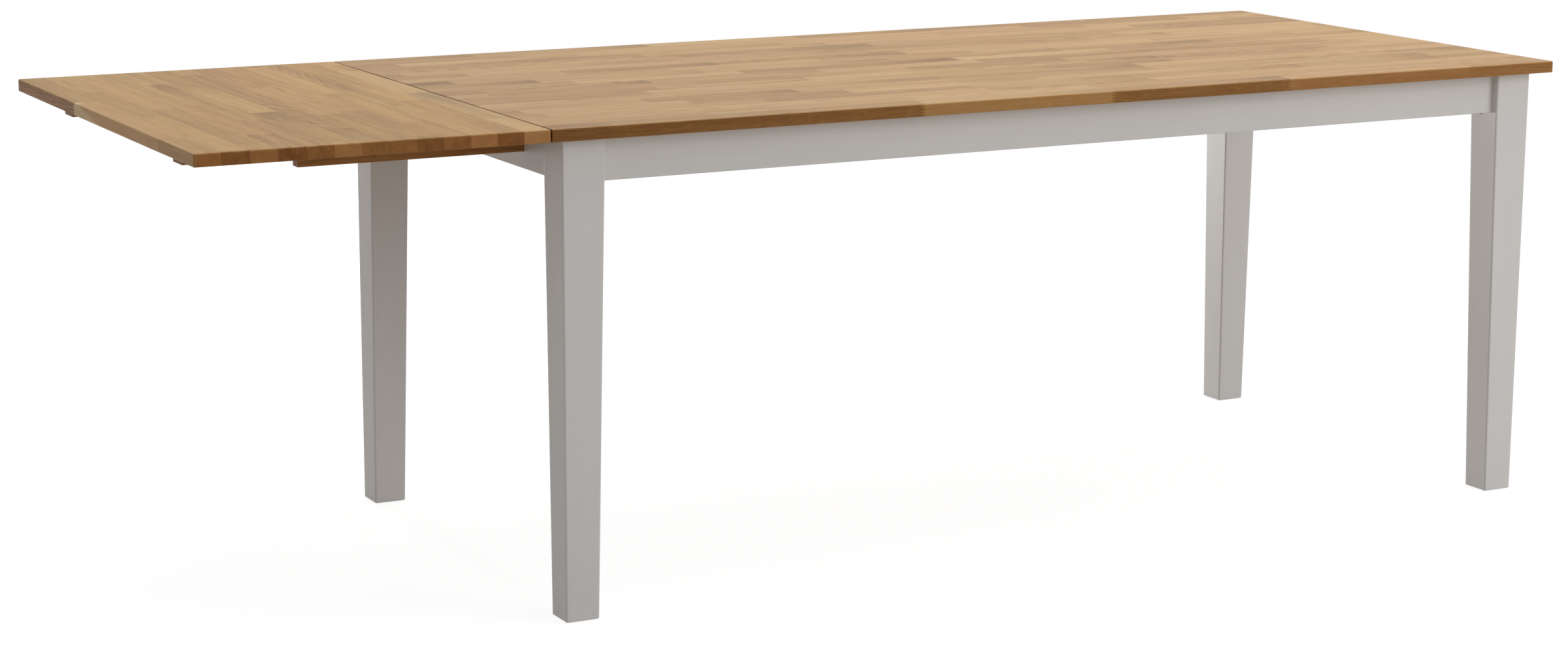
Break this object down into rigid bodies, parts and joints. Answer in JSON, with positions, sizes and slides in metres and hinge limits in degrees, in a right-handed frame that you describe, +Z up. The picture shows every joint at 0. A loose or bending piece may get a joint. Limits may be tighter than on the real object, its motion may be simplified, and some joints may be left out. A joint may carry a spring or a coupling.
{
  "type": "draw leaf table",
  "caption": "Rectangular dining table with an oak stave top on a painted frame of tapered legs, with an end leaf carried by pull-out bearers.",
  "frame": {"origin": "on the floor, under the middle of the whole table with its leaf", "axes": "+X along the table from the leaf's end to the plain end, +Y to the back, +Z up"},
  "size_m": [2.383, 0.9, 0.75],
  "materials": {
    "oak": "clear matt lacquer on glued oak staves",
    "beech": "plain beech",
    "painted_wood": "satin warm grey-white paint",
    "plain_wood": "plain planed wood",
    "zinc_steel": "zinc-plated steel",
    "glide_plastic": "matt dark plastic"
  },
  "bodies": {
    "table_frame": {"apron_back": "painted_wood", "apron_front": "painted_wood", "apron_left": "painted_wood", "apron_right": "painted_wood", "bearer_guide_rail": "plain_wood", "bracket_screws": "zinc_steel", "corner_bracket_back_left": "zinc_steel", "corner_bracket_back_right": "zinc_steel", "corner_bracket_front_left": "zinc_steel", "corner_bracket_front_right": "zinc_steel", "cross_rail_dowels": "beech", "cross_rail_middle": "plain_wood", "cross_rail_right": "plain_wood", "foot_glides": "glide_plastic", "hanger_bolts": "zinc_steel", "hanger_nuts": "zinc_steel", "hanger_washers": "zinc_steel", "leg_back_left": "painted_wood", "leg_back_right": "painted_wood", "leg_front_left": "painted_wood", "leg_front_right": "painted_wood", "main_top": "oak", "top_clip_screws": "zinc_steel", "top_clips": "zinc_steel"},
    "leaf": {"leaf_top": "oak", "leaf_cleat_front": "oak", "leaf_cleat_back": "oak", "leaf_cleat_screws": "zinc_steel", "leaf_dowels": "beech"},
    "bearer_front": {"bearer_front": "oak", "bearer_stop_pin_front": "beech"},
    "bearer_back": {"bearer_back": "oak", "bearer_stop_pin_back": "beech"}
  },
  "joints": [
    {"name": "leaf_draw", "type": "slide", "parent": "table_frame", "child": "leaf", "axis": [-1, 0, 0], "range_m": [0, 0.04]},
    {"name": "bearer_front_slide", "type": "slide", "parent": "table_frame", "child": "bearer_front", "axis": [1, 0, 0], "range_m": [0, 0.345]},
    {"name": "bearer_back_slide", "type": "slide", "parent": "table_frame", "child": "bearer_back", "axis": [1, 0, 0], "range_m": [0, 0.345]}
  ]
}
